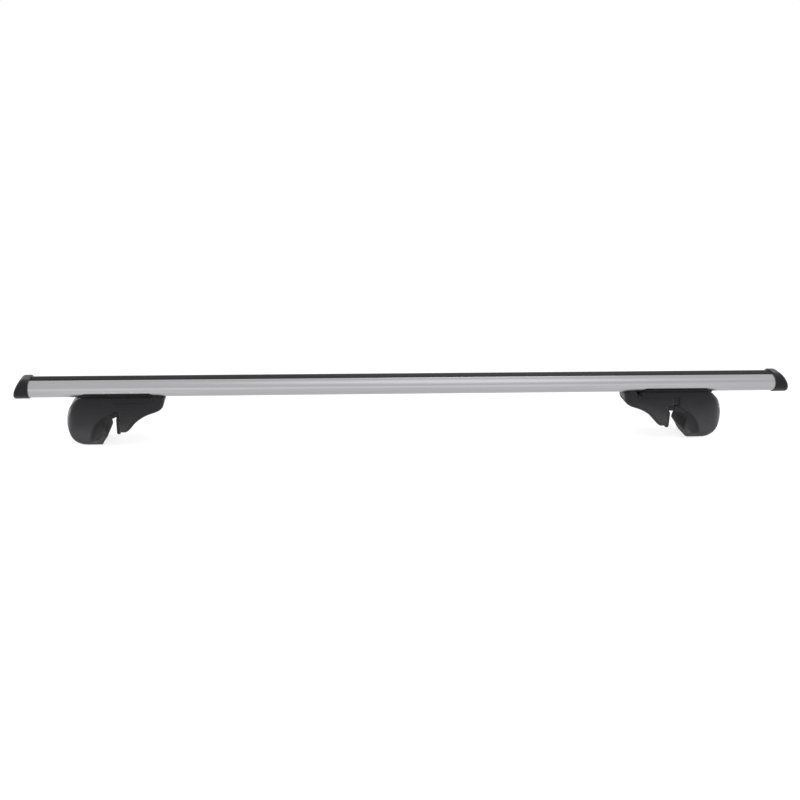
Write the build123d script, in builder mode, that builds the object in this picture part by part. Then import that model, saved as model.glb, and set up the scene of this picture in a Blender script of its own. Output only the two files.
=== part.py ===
from build123d import *
import os

# Roof rack crossbar: an oval aluminium bar with a rubber strip on top, plastic end
# caps, and two clamp feet that grip a raised roof rail between a hook and a jaw.
# Frame: X along the bar, Z up, origin on the standing plane below the bar's middle.
# Millimetres.

os.makedirs("parts", exist_ok=True)

# ---------------------------------------------------------------- bar
BAR_LEN = 1160.0        # aluminium length between the caps
BAR_W = 48.0            # section width
BAR_H = 27.0            # section height
BAR_FLAT = 7.3          # half width of the flat top and bottom
BAR_WALL = 2.0
BAR_Z = 88.7            # height of the section's centre above the standing plane
NOSE = BAR_W / 2 - BAR_FLAT

STRIP_W = 20.5          # rubber strip in the top slot
TOP_MOUTH = 11.0        # top slot's mouth between its lips
TOP_CHAN_W = 18.0
TOP_CHAN_H = 5.0
LOW_MOUTH = 10.5        # lower slot that carries the feet
LOW_CHAN_W = 17.5
LOW_CHAN_H = 5.5

# ---------------------------------------------------------------- caps
CAP_PROUD = 2.0         # the cap stands proud of the bar all round
CAP_RISE = 0.5          # and a little more on top than below
CAP_TOP = 14.0          # cap length at its top edge
CAP_LOW = 23.3          # cap length at its bottom edge

# ---------------------------------------------------------------- feet
# Foot coordinates: x = 0 at the hook's tip, outward positive, z above the standing plane.
FOOT_X_RIGHT = 443.7    # where the right hook's tip stands on the bar
FOOT_X_LEFT = -472.6
OPEN_RIGHT = 10.2       # how far each jaw stands open of its closed place
OPEN_LEFT = 0.0
FOOT_OUT = 57.5         # outermost point of the hook
HOOK_BELLY_Z = 33.5     # height of that point
HOOK_FLOOR = 25.0       # length of the hook's flat bottom
TOE_X = 2.5             # lower corner of the hook's lip
RIM_Z = 77.2            # top rim of the arm
RIM_OUT = 35.5          # outer end of the rim
ARM_IN = -75.5          # inner end of the arm
ARM_Z = 69.7            # underside of the arm, where the jaw runs
ARC_C = (-26.0, 8.7)    # centre and radius of the hook's hollow
ARC_R = 45.5
BLOCK_X = -17.3         # inner face of the hook's block
HALF_W = 31.0           # widest half width of foot and jaw
POCKET_OUT = 24.0       # outer end of the pocket for the jaw's tongue
POCKET_LOW = 56.7
POCKET_W_LOW = 27.0     # half widths of the pocket, low and high
POCKET_W_TOP = 23.5
SEAT_GAP = 2.05         # arm's seat below the bar, which the saddle fills
SCREW_Z = 62.7          # height of the clamp screw
SCREW_D = 6.0
SCREW_BORE = 6.6
HEAD_SEAT = 33.0        # where the screw head's washer bears
HEAD_BORE = 12.6
WASHER_D = 12.0
WASHER_T = 1.6
HEAD_D = 10.0
HEAD_T = 6.0
SCREW_LEN = 62.0
NUT_W = 10.0            # square nut
NUT_T = 5.0
NUT_X = 9.0
JAW_FACE = -26.0        # jaw's upright face, behind its pad
PAD_T = 5.0
JAW_LOW = 22.2
JAW_SHELF = 56.7        # underside of the jaw over the slot
PAD_TOP = 47.6          # top of the jaw's pad
LIP_IN = -37.5          # inner end of the hook lining's upper lip
LIP_FULL = -25.4        # as far as this the lip is as wide as the foot, beyond it narrower
LIP_LOW = 48.2          # underside of that lip
LIP_TOP = 56.3
LIP_INSET = 2.6
GROOVE_IN = -38.6       # groove in the jaw that takes the narrow end of the lip
GROOVE_INSET = 2.2
JAW_TOP = 77.2          # top of the jaw's inner block, which fits round the bar from below
JAW_IN = -96.6
TONGUE_OUT = 20.5
RUN = 0.3               # running room between foot and jaw
KEY_W = 16.8            # slide key in the lower slot
KEY_T = 4.2
KEY_NECK = 9.6
KEY_OUT = 33.0
KEY_IN = -70.0
KEY_SCREWS = (28.5, -66.0)
BOSS_LOW = 66.2         # boss under the arm for the inner key screw
KEY_SCREW_D = 5.0
KEY_HEAD_D = 9.2
KEY_SCREW_LOW = 67.3

BAR_LOW_Z = BAR_Z - BAR_H / 2
SEAT_Z = BAR_LOW_Z - SEAT_GAP
LIP = 2.2               # thickness of the lower slot's lips
KEY_Z = BAR_LOW_Z + LIP + RUN


def oval(grow):
    """The bar's oval outline, grown by a distance, as four edges."""
    rx, rz = NOSE + grow, BAR_H / 2 + grow
    Line((-BAR_FLAT, rz), (BAR_FLAT, rz))
    EllipticalCenterArc((BAR_FLAT, 0), rx, rz, start_angle=-90, arc_size=180)
    Line((BAR_FLAT, -rz), (-BAR_FLAT, -rz))
    EllipticalCenterArc((-BAR_FLAT, 0), rx, rz, start_angle=90, arc_size=180)


def bar_plane(x, rise=0.0):
    """Cross-section plane at x, centred on the bar, facing +X."""
    return Plane(origin=(x, 0, BAR_Z + rise), x_dir=(0, 1, 0), z_dir=(1, 0, 0))


# ================================================================ bar
with BuildPart() as bar:
    with BuildSketch(bar_plane(-BAR_LEN / 2)):
        with BuildLine():
            oval(0)
        make_face()
        with BuildLine():
            oval(-BAR_WALL)
        make_face(mode=Mode.SUBTRACT)
        # walls round the two slots, and a web between them
        with Locations((0, 7.6)):
            Rectangle(TOP_CHAN_W + 3.6, 9.8)
        with Locations((0, -8.25)):
            Rectangle(LOW_CHAN_W + 3.6, 8.5)
        with Locations((0, -0.65)):
            Rectangle(2.0, 8.0)
        # top slot: a recess for the strip, the mouth and the channel
        with Locations((0, 13.5)):
            Rectangle(STRIP_W, 4.0, mode=Mode.SUBTRACT)
        with Locations((0, 10.5)):
            Rectangle(TOP_MOUTH, 3.0, mode=Mode.SUBTRACT)
        with Locations((0, 9.5 - TOP_CHAN_H / 2)):
            Rectangle(TOP_CHAN_W, TOP_CHAN_H, mode=Mode.SUBTRACT)
        # lower slot
        with Locations((0, -BAR_H / 2)):
            Rectangle(LOW_MOUTH, 2 * LIP + 1.0, mode=Mode.SUBTRACT)
        with Locations((0, -BAR_H / 2 + LIP + LOW_CHAN_H / 2)):
            Rectangle(LOW_CHAN_W, LOW_CHAN_H, mode=Mode.SUBTRACT)
    extrude(amount=BAR_LEN)
bar.part.label = "bar"
export_step(bar.part, "parts/bar.step")

# ================================================================ top strip
with BuildPart() as top_strip:
    with BuildSketch(bar_plane(-BAR_LEN / 2 + 0.2)):
        with BuildLine():
            w = STRIP_W / 2 - 0.1
            m = TOP_MOUTH / 2 - 0.1
            Polyline((-w, 13.3), (-w, 11.6), (-m, 11.6), (-m, 9.35), (-7.4, 9.35), (-4.2, 6.4))
            Line((-4.2, 6.4), (4.2, 6.4))
            Polyline((4.2, 6.4), (7.4, 9.35), (m, 9.35), (m, 11.6), (w, 11.6), (w, 13.3))
            ThreePointArc((w, 13.3), (0, 13.9), (-w, 13.3))
        make_face()
    extrude(amount=BAR_LEN - 0.4)
top_strip.part.label = "top_strip"
export_step(top_strip.part, "parts/top_strip.step")


# ================================================================ end caps
def make_cap(side):
    end = side * BAR_LEN / 2
    with BuildPart() as cap:
        with BuildSketch(bar_plane(end + side * 0.05, CAP_RISE)):
            with BuildLine():
                oval(CAP_PROUD)
            make_face()
        extrude(amount=side * (CAP_LOW + 6))
        # slanted, slightly crowned end: short on top, long below
        z_hi, z_lo = BAR_Z + 16.0, BAR_Z - 16.0
        with BuildSketch(Plane.XZ):
            with BuildLine():
                ThreePointArc((end + side * (CAP_TOP - 1.0), z_hi),
                              (end + side * (CAP_TOP + 6.8), BAR_Z),
                              (end + side * (CAP_LOW + 0.5), z_lo))
                Polyline((end + side * (CAP_LOW + 0.5), z_lo), (end + side * 45, z_lo),
                         (end + side * 45, z_hi), (end + side * (CAP_TOP - 1.0), z_hi))
            make_face()
        extrude(amount=40, both=True, mode=Mode.SUBTRACT)
        outer = cap.faces().sort_by(Axis.X)[-1 if side > 0 else 0]
        fillet(outer.edges(), 3.0)
        inner = cap.faces().sort_by(Axis.X)[0 if side > 0 else -1]
        fillet(inner.edges(), 0.5)
        # two lugs that press into the bar's side chambers
        with BuildSketch(bar_plane(end + side * 0.05)):
            with Locations((15.2, 0), (-15.2, 0)):
                RectangleRounded(6.4, 12.5, 1.5)
        extrude(amount=-side * 20.0)
    return cap


end_cap_left = make_cap(-1)
end_cap_left.part.label = "end_cap_left"
export_step(end_cap_left.part, "parts/end_cap_left.step")

end_cap_right = make_cap(1)
end_cap_right.part.label = "end_cap_right"
export_step(end_cap_right.part, "parts/end_cap_right.step")


# ================================================================ feet
def place(side, x0, pts):
    """Foot coordinates to the bar's frame, for profiles drawn on XZ or XY."""
    return [(x0 + side * x, z) for x, z in pts]


SECTION = [(21.0, 0.0), (24.2, 1.0), (27.0, 4.8), (29.2, 12.0), (30.7, 24.0), (HALF_W, 38.0),
           (30.0, 52.0), (27.9, 62.0), (25.2, ARM_Z), (21.6, RIM_Z)]

# hook's lip: its side towards the slot, and its upper side from the nose into the hollow
LIP_FRONT = [(TOE_X, 0.0), (0.9, 4.6), (-1.9, 9.4), (-4.9, 13.8)]
LIP_BACK = [(-4.9, 13.8), (-5.5, 16.4), (-4.0, 18.2), (-1.0, 17.6), (3.2, 14.0), (7.6, 10.6), (12.2, 9.2), (16.3, 10.4), (19.2, 13.9)]
# hook's lining: its side towards the rail, from the nose into the hollow
LINING = [(-5.05, 13.7), (-6.2, 15.4), (-6.6, 18.0), (-6.2, 21.5), (-5.1, 26.0), (-3.9, 31.0), (-3.7, 36.0), (-5.2, 40.4), (-8.6, 43.2),
          (-12.6, 44.8), (-16.6, 46.2), (-20.6, LIP_LOW)]
# and its outer side, which lies 0.1 mm off the lip
LINING_BACK = [(-5.05, 13.7), (-5.6, 16.42), (-4.02, 18.3), (-0.95, 17.69), (3.26, 14.08), (7.65, 10.69), (12.2, 9.3), (16.24, 10.48)]
LINING_INSET = 0.6      # the lining's ends lie behind the foot's front and back


def belly_section(shrink):
    """Half-round cross section of foot and jaw, bulging at the middle."""
    pts = [(y - shrink, z) for y, z in SECTION]
    Spline(*pts)
    Line(pts[-1], (-pts[-1][0], pts[-1][1]))
    Spline(*[(-y, z) for y, z in reversed(pts)])
    Line((-pts[0][0], pts[0][1]), pts[0])


def span(side, x0, x_a, x_b):
    """Start and length along +X of a stretch given in foot coordinates."""
    a, b = sorted((x0 + side * x_a, x0 + side * x_b))
    return a, b - a


def arc_point(r, z):
    """Point at a height on the outer side of the hook's hollow."""
    return (ARC_C[0] + (r ** 2 - (z - ARC_C[1]) ** 2) ** 0.5, z)


def make_foot(side, x0):
    def p(*pts):
        return place(side, x0, pts)

    arch_z = ARC_C[1] + (ARC_R ** 2 - (BLOCK_X - ARC_C[0]) ** 2) ** 0.5
    mid_x = ARC_C[0] + ARC_R * 0.7071
    mid_z = ARC_C[1] + ARC_R * 0.7071
    low = arc_point(ARC_R, LIP_BACK[-1][1])
    with BuildPart() as foot:
        # side profile: hook, block over the slot, and arm under the bar
        with BuildSketch(Plane.XZ):
            with BuildLine():
                Line(*p((TOE_X, 0), (HOOK_FLOOR, 0)))
                Spline(*p((HOOK_FLOOR, 0), (34.0, 2.2), (45.8, 10.2), (54.2, 21.4), (FOOT_OUT, HOOK_BELLY_Z),
                          (56.0, 46.5), (51.0, 57.8), (43.8, 68.0), (RIM_OUT, RIM_Z)),
                       tangents=((side * 1, 0), (-side * 0.62, 0.78)))
                Polyline(*p((RIM_OUT, RIM_Z), (ARM_IN, RIM_Z), (ARM_IN, ARM_Z), (BLOCK_X, ARM_Z), (BLOCK_X, arch_z)))
                ThreePointArc(*p((BLOCK_X, arch_z), (mid_x, mid_z), low))
                Spline(*p(*([low] + LIP_BACK[-2::-1])))
                Spline(*p(*LIP_FRONT[::-1]))
            make_face()
        extrude(amount=HALF_W + 5, both=True)
        # bulging cross section
        start, length = span(side, x0, -110, 70)
        with BuildSketch(Plane.YZ.offset(start)):
            with BuildLine():
                belly_section(0)
            make_face()
        extrude(amount=length, mode=Mode.INTERSECT)
        # rounded outer end in plan
        with BuildSketch(Plane.XY):
            with BuildLine():
                Polyline(*p((22, HALF_W), (-110, HALF_W), (-110, -HALF_W), (22, -HALF_W)))
                Spline(*p((22, -HALF_W), (38.5, -30.3), (49.5, -26.6), (55.2, -19.4), (57.3, -10.0), (FOOT_OUT + 0.3, 0),
                          (57.3, 10.0), (55.2, 19.4), (49.5, 26.6), (38.5, 30.3), (22, HALF_W)),
                       tangents=((side * 1, 0), (-side * 1, 0)))
            make_face()
        extrude(amount=120, mode=Mode.INTERSECT)
        # seat for the bar
        with BuildSketch(bar_plane(start)):
            with BuildLine():
                oval(SEAT_GAP)
            make_face()
        extrude(amount=length, mode=Mode.SUBTRACT)
        # pocket for the jaw's tongue
        p_start, p_length = span(side, x0, BLOCK_X - 1, POCKET_OUT)
        with BuildSketch(Plane.YZ.offset(p_start)):
            Polygon((POCKET_W_LOW, POCKET_LOW), (POCKET_W_TOP, ARM_Z), (-POCKET_W_TOP, ARM_Z),
                    (-POCKET_W_LOW, POCKET_LOW), align=None)
        extrude(amount=p_length, mode=Mode.SUBTRACT)
        # boss under the arm for the inner key screw
        with BuildSketch(Plane.XY.offset(BOSS_LOW)):
            with Locations((x0 + side * KEY_SCREWS[1], 0)):
                RectangleRounded(12, 10, 2)
        extrude(amount=ARM_Z - BOSS_LOW + 1)
        # clamp screw's bore, and the deep round recess for its head
        b_start, b_length = span(side, x0, POCKET_OUT - 2, HEAD_SEAT + 1)
        with BuildSketch(Plane.YZ.offset(b_start)):
            with Locations((0, SCREW_Z)):
                Circle(SCREW_BORE / 2)
        extrude(amount=b_length, mode=Mode.SUBTRACT)
        h_start, h_length = span(side, x0, HEAD_SEAT, HEAD_SEAT + 40)
        with BuildSketch(Plane.YZ.offset(h_start)):
            with Locations((0, SCREW_Z)):
                Circle(HEAD_BORE / 2)
        extrude(amount=h_length, mode=Mode.SUBTRACT)
        # holes for the key screws
        with BuildSketch(Plane.XY.offset(KEY_SCREW_LOW - 0.4)):
            with Locations(*[(x0 + side * x, 0) for x in KEY_SCREWS]):
                Circle(KEY_SCREW_D / 2 + 0.02)
        extrude(amount=20, mode=Mode.SUBTRACT)
    return foot


def make_saddle(side, x0):
    def p(*pts):
        return place(side, x0, pts)

    with BuildPart() as saddle:
        start, length = span(side, x0, ARM_IN - 0.2, 36.0)
        with BuildSketch(bar_plane(start)):
            with BuildLine():
                oval(SEAT_GAP - 0.05)
            make_face()
            with BuildLine():
                oval(RUN)
            make_face(mode=Mode.SUBTRACT)
            with Locations((0, 13.6)):
                Rectangle(80, 40, mode=Mode.SUBTRACT)
        extrude(amount=length)
        # the lip runs down to the rim at both ends
        with BuildSketch(Plane.XZ):
            with BuildLine():
                Polyline(*p((25, 82.7), (36.5, 77.8), (40, 77.8), (40, 92), (25, 92)), close=True)
            make_face()
            with BuildLine():
                Polyline(*p((ARM_IN + 4, 82.7), (ARM_IN - 1, 78.7), (ARM_IN - 3, 78.7), (ARM_IN - 3, 92), (ARM_IN + 4, 92)), close=True)
            make_face()
        extrude(amount=40, both=True, mode=Mode.SUBTRACT)
        # window for the key
        with BuildSketch(Plane.XY.offset(60)):
            with Locations((x0 + side * (KEY_OUT + KEY_IN) / 2, 0)):
                Rectangle(KEY_OUT - KEY_IN + 0.6, KEY_NECK + 0.4)
        extrude(amount=20, mode=Mode.SUBTRACT)
    return saddle


def make_hook_pad(side, x0):
    def p(*pts):
        return place(side, x0, pts)

    r = ARC_R - 0.1
    top_x = BLOCK_X - 0.3
    top_z = ARC_C[1] + (r ** 2 - (top_x - ARC_C[0]) ** 2) ** 0.5
    with BuildPart() as lip:
        with BuildSketch(Plane.XZ):
            with BuildLine():
                Polyline(*p((LIP_FULL + 1, LIP_LOW), (LIP_IN, LIP_LOW), (LIP_IN, LIP_TOP), (LIP_FULL + 1, LIP_TOP)), close=True)
            make_face()
        extrude(amount=HALF_W + 5, both=True)
        start, length = span(side, x0, -40, 40)
        with BuildSketch(Plane.YZ.offset(start)):
            with BuildLine():
                belly_section(LIP_INSET)
            make_face()
        extrude(amount=length, mode=Mode.INTERSECT)
    mid = (ARC_C[0] + r * 0.7071, ARC_C[1] + r * 0.7071)
    low = arc_point(r, LIP_BACK[-1][1])
    with BuildPart() as pad:
        with BuildSketch(Plane.XZ):
            with BuildLine():
                ThreePointArc(*p((top_x, top_z), mid, low))
                Spline(*p(*([low] + LINING_BACK[::-1])))
                Spline(*p(*LINING))
                Polyline(*p(LINING[-1], (LIP_FULL, LIP_LOW), (LIP_FULL, LIP_TOP), (top_x, LIP_TOP), (top_x, top_z)))
            make_face()
        extrude(amount=HALF_W + 5, both=True)
        start, length = span(side, x0, -40, 40)
        with BuildSketch(Plane.YZ.offset(start)):
            with BuildLine():
                belly_section(LINING_INSET)
            make_face()
        extrude(amount=length, mode=Mode.INTERSECT)
        add(lip.part)
    return pad


def make_jaw(side, x0, open_by):
    def p(*pts):
        return place(side, x0 - side * open_by, pts)

    xj = x0 - side * open_by
    with BuildPart() as groove:
        with BuildSketch(Plane.XZ):
            with BuildLine():
                Polyline(*p((JAW_FACE + 1, PAD_TOP), (GROOVE_IN, PAD_TOP), (GROOVE_IN, JAW_SHELF), (JAW_FACE + 1, JAW_SHELF)), close=True)
            make_face()
        extrude(amount=HALF_W + 5, both=True)
        start, length = span(side, xj, -40, 0)
        with BuildSketch(Plane.YZ.offset(start)):
            with BuildLine():
                belly_section(GROOVE_INSET)
            make_face()
        extrude(amount=length, mode=Mode.INTERSECT)
    with BuildPart() as jaw:
        with BuildSketch(Plane.XZ):
            with BuildLine():
                Line(*p((JAW_FACE, JAW_LOW), (-32.5, JAW_LOW)))
                Spline(*p((-32.5, JAW_LOW), (-38.0, 24.6), (-48.0, 35.7), (-59.4, 44.4), (-70.8, 49.4),
                          (-83.2, 52.8), (-89.0, 56.4), (-92.4, 63.6), (-94.2, 73.0)),
                       tangents=((-side * 1, 0), (-side * 0.18, 0.98)))
                Polyline(*p((-94.2, 73.0), (JAW_IN, 73.0), (JAW_IN, JAW_TOP), (ARM_IN - 0.5, JAW_TOP), (ARM_IN - 0.5, ARM_Z - RUN),
                            (BLOCK_X - 0.4, ARM_Z - RUN), (BLOCK_X - 0.4, JAW_SHELF), (JAW_FACE, JAW_SHELF), (JAW_FACE, JAW_LOW)))
            make_face()
        extrude(amount=HALF_W + 5, both=True)
        start, length = span(side, xj, -110, 60)
        with BuildSketch(Plane.YZ.offset(start)):
            with BuildLine():
                belly_section(0)
            make_face()
        extrude(amount=length, mode=Mode.INTERSECT)
        # narrower towards the inner end in plan
        with BuildSketch(Plane.XY):
            with BuildLine():
                Spline(*p((0, HALF_W + 0.2), (-26, HALF_W + 0.1), (-45, 30.0), (-65, 27.2), (-84, 22.4), (JAW_IN - 2, 16.2)))
                Line(*p((JAW_IN - 2, 16.2), (JAW_IN - 2, -16.2)))
                Spline(*p((JAW_IN - 2, -16.2), (-84, -22.4), (-65, -27.2), (-45, -30.0), (-26, -HALF_W - 0.1), (0, -HALF_W - 0.2)))
                Line(*p((0, -HALF_W - 0.2), (0, HALF_W + 0.2)))
            make_face()
        extrude(amount=120, mode=Mode.INTERSECT)
        # room for the bar over the inner block, and the groove for the lining's lip
        with BuildSketch(bar_plane(start)):
            with BuildLine():
                oval(RUN + 0.05)
            make_face()
        extrude(amount=length, mode=Mode.SUBTRACT)
        add(groove.part, mode=Mode.SUBTRACT)
        # tongue that runs in the foot's pocket
        t_start, t_length = span(side, xj, BLOCK_X - 2, TONGUE_OUT)
        with BuildSketch(Plane.YZ.offset(t_start)):
            Polygon((POCKET_W_LOW - RUN - 0.1, POCKET_LOW + RUN), (POCKET_W_TOP - RUN - 0.1, ARM_Z - RUN),
                    (-POCKET_W_TOP + RUN + 0.1, ARM_Z - RUN), (-POCKET_W_LOW + RUN + 0.1, POCKET_LOW + RUN), align=None)
        extrude(amount=t_length)
        # bore for the clamp screw
        b_start, b_length = span(side, xj, -31.0, TONGUE_OUT + 1)
        with BuildSketch(Plane.YZ.offset(b_start)):
            with Locations((0, SCREW_Z)):
                Circle(SCREW_BORE / 2)
        extrude(amount=b_length, mode=Mode.SUBTRACT)
        # pocket for the nut, open on top
        with BuildSketch(Plane.XY.offset(SCREW_Z - NUT_W / 2 - 0.05)):
            with Locations((xj + side * (NUT_X + NUT_T / 2), 0)):
                Rectangle(NUT_T + 0.2, NUT_W + 0.2)
        extrude(amount=20, mode=Mode.SUBTRACT)
        # groove on top that clears the arm's boss over the whole travel
        with BuildSketch(Plane.XY.offset(BOSS_LOW - 0.4)):
            with Locations((xj + side * -57.0, 0)):
                Rectangle(31.6, 10.8)
        extrude(amount=20, mode=Mode.SUBTRACT)
    return jaw


def make_jaw_pad(side, x0, open_by):
    xj = x0 - side * open_by
    with BuildPart() as pad:
        with BuildSketch(Plane.XZ):
            with BuildLine():
                pts = place(side, xj, [(JAW_FACE + 0.02, JAW_LOW - 1.9), (JAW_FACE + PAD_T - 1.2, JAW_LOW - 1.9), (JAW_FACE + PAD_T, JAW_LOW + 0.1),
                                       (JAW_FACE + PAD_T, PAD_TOP - 2.4), (JAW_FACE + PAD_T - 1.6, PAD_TOP), (JAW_FACE + 0.02, PAD_TOP)])
                Polyline(*pts, close=True)
            make_face()
        extrude(amount=HALF_W + 5, both=True)
        start, length = span(side, xj, -40, 0)
        with BuildSketch(Plane.YZ.offset(start)):
            with BuildLine():
                belly_section(1.6)
            make_face()
        extrude(amount=length, mode=Mode.INTERSECT)
    return pad


def make_clamp_screw(side, x0):
    with BuildPart() as screw:
        tip = HEAD_SEAT + WASHER_T + 0.05 - SCREW_LEN
        start, length = span(side, x0, tip, HEAD_SEAT + WASHER_T + 0.05)
        with BuildSketch(Plane.YZ.offset(start)):
            with Locations((0, SCREW_Z)):
                Circle(SCREW_D / 2)
        extrude(amount=length)
        start, length = span(side, x0, HEAD_SEAT + WASHER_T + 0.05, HEAD_SEAT + WASHER_T + 0.05 + HEAD_T)
        with BuildSketch(Plane.YZ.offset(start)):
            with Locations((0, SCREW_Z)):
                Circle(HEAD_D / 2)
        extrude(amount=length)
        chamfer(screw.edges().filter_by(GeomType.CIRCLE).sort_by(Axis.X)[0], 0.6)
        chamfer(screw.edges().filter_by(GeomType.CIRCLE).sort_by(Axis.X)[-1], 0.6)
        start, length = span(side, x0, HEAD_SEAT + WASHER_T + HEAD_T - 3.2, HEAD_SEAT + WASHER_T + HEAD_T + 2)
        with BuildSketch(Plane.YZ.offset(start)):
            with Locations((0, SCREW_Z)):
                RegularPolygon(2.5, 6, major_radius=False)
        extrude(amount=length, mode=Mode.SUBTRACT)
    return screw


def make_clamp_washer(side, x0):
    with BuildPart() as washer:
        start, length = span(side, x0, HEAD_SEAT + 0.02, HEAD_SEAT + WASHER_T)
        with BuildSketch(Plane.YZ.offset(start)):
            with Locations((0, SCREW_Z)):
                Circle(WASHER_D / 2)
                Circle(SCREW_D / 2 + 0.08, mode=Mode.SUBTRACT)
        extrude(amount=length)
    return washer


def make_clamp_nut(side, x0, open_by):
    xj = x0 - side * open_by
    with BuildPart() as nut:
        start, length = span(side, xj, NUT_X, NUT_X + NUT_T)
        with BuildSketch(Plane.YZ.offset(start)):
            with Locations((0, SCREW_Z)):
                Rectangle(NUT_W, NUT_W)
                Circle(SCREW_D / 2 + 0.05, mode=Mode.SUBTRACT)
        extrude(amount=length)
    return nut


def make_slide_key(side, x0):
    with BuildPart() as key:
        start, length = span(side, x0, KEY_IN, KEY_OUT)
        with BuildSketch(Plane.YZ.offset(start)):
            with Locations((0, KEY_Z + KEY_T / 2)):
                Rectangle(KEY_W, KEY_T)
            with Locations((0, (SEAT_Z + KEY_Z) / 2 + 0.25)):
                Rectangle(KEY_NECK, KEY_Z - SEAT_Z + 0.4)
        extrude(amount=length)
        with Locations(*[Location((x0 + side * x, 0, KEY_Z + KEY_T)) for x in KEY_SCREWS]):
            CounterSinkHole(KEY_SCREW_D / 2 + 0.02, KEY_HEAD_D / 2 + 0.05, depth=20)
    return key


def make_key_screws(side, x0):
    top = KEY_Z + KEY_T
    with BuildPart() as screws:
        for x in KEY_SCREWS:
            with BuildSketch(Plane(origin=(x0 + side * x, 0, 0), x_dir=(1, 0, 0), z_dir=(0, -1, 0))):
                with BuildLine():
                    r, h = KEY_SCREW_D / 2, KEY_HEAD_D / 2
                    Polyline((0, KEY_SCREW_LOW), (r - 0.5, KEY_SCREW_LOW), (r, KEY_SCREW_LOW + 0.5), (r, top - (h - r)),
                             (h, top), (1.5, top), (1.5, top - 2.0), (0, top - 2.0), close=True)
                make_face()
            revolve(axis=Axis((x0 + side * x, 0, 0), (0, 0, 1)))
    return screws


SIDES = (("left", -1, FOOT_X_LEFT, OPEN_LEFT), ("right", 1, FOOT_X_RIGHT, OPEN_RIGHT))
for name, side, x0, open_by in SIDES:
    foot = make_foot(side, x0)
    foot.part.label = "foot_" + name
    export_step(foot.part, "parts/foot_" + name + ".step")

    saddle = make_saddle(side, x0)
    saddle.part.label = "saddle_" + name
    export_step(saddle.part, "parts/saddle_" + name + ".step")

    hook_pad = make_hook_pad(side, x0)
    hook_pad.part.label = "hook_pad_" + name
    export_step(hook_pad.part, "parts/hook_pad_" + name + ".step")

    jaw = make_jaw(side, x0, open_by)
    jaw.part.label = "jaw_" + name
    export_step(jaw.part, "parts/jaw_" + name + ".step")

    jaw_pad = make_jaw_pad(side, x0, open_by)
    jaw_pad.part.label = "jaw_pad_" + name
    export_step(jaw_pad.part, "parts/jaw_pad_" + name + ".step")

    clamp_screw = make_clamp_screw(side, x0)
    clamp_screw.part.label = "clamp_screw_" + name
    export_step(clamp_screw.part, "parts/clamp_screw_" + name + ".step")

    clamp_washer = make_clamp_washer(side, x0)
    clamp_washer.part.label = "clamp_washer_" + name
    export_step(clamp_washer.part, "parts/clamp_washer_" + name + ".step")

    clamp_nut = make_clamp_nut(side, x0, open_by)
    clamp_nut.part.label = "clamp_nut_" + name
    export_step(clamp_nut.part, "parts/clamp_nut_" + name + ".step")

    slide_key = make_slide_key(side, x0)
    slide_key.part.label = "slide_key_" + name
    export_step(slide_key.part, "parts/slide_key_" + name + ".step")

    key_screws = make_key_screws(side, x0)
    key_screws.part.label = "key_screws_" + name
    export_step(key_screws.part, "parts/key_screws_" + name + ".step")
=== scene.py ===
import math

import bmesh
import bpy
import numpy as np
import openvdb as vdb
from mathutils import Matrix, Vector


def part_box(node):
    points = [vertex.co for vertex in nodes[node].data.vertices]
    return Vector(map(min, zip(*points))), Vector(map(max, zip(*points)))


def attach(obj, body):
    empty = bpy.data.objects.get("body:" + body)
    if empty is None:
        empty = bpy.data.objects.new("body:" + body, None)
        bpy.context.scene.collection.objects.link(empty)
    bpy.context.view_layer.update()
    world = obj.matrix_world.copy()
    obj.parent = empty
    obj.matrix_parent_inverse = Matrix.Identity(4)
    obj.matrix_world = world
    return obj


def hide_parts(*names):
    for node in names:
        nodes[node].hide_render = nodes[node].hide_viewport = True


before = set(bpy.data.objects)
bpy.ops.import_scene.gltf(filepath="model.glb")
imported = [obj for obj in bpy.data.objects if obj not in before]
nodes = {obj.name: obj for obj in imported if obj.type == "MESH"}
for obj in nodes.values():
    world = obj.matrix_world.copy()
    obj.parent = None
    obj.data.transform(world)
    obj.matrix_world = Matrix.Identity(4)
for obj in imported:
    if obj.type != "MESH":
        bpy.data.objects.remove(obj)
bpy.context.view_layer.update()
scene = bpy.context.scene

# ------------------------------------------------------------------ dimensions, millimetres
BAR_LEN, BAR_W, BAR_H, BAR_FLAT, BAR_WALL = 1160.0, 48.0, 27.0, 7.3, 2.0
BAR_Z = 88.7
NOSE = BAR_W / 2 - BAR_FLAT
STRIP_W, TOP_MOUTH, TOP_CHAN_W, TOP_CHAN_H = 20.5, 11.0, 18.0, 5.0
LOW_MOUTH, LOW_CHAN_W, LOW_CHAN_H, LIP = 10.5, 17.5, 5.5, 2.2
CAP_PROUD, CAP_RISE, CAP_TOP, CAP_LOW = 2.0, 0.5, 14.0, 23.3
FOOT_OUT, HOOK_BELLY_Z, HOOK_FLOOR, TOE_X = 57.5, 33.5, 25.0, 2.5
RIM_Z, RIM_OUT, ARM_IN, ARM_Z = 77.2, 35.5, -75.5, 69.7
ARC_C, ARC_R, BLOCK_X, HALF_W = (-26.0, 8.7), 45.5, -17.3, 31.0
POCKET_OUT, POCKET_LOW, POCKET_W_LOW, POCKET_W_TOP = 24.0, 56.7, 27.0, 23.5
SEAT_GAP, SCREW_Z, SCREW_D, SCREW_BORE = 2.05, 62.7, 6.0, 6.6
HEAD_SEAT, HEAD_BORE, WASHER_T, HEAD_D, HEAD_T, SCREW_LEN = 33.0, 12.6, 1.6, 10.0, 6.0, 62.0
JAW_FACE, PAD_T, JAW_LOW, JAW_SHELF, PAD_TOP = -26.0, 5.0, 22.2, 56.7, 47.6
LIP_IN, LIP_FULL, LIP_LOW, LIP_TOP, GROOVE_IN = -37.5, -25.4, 48.2, 56.3, -38.6
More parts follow.
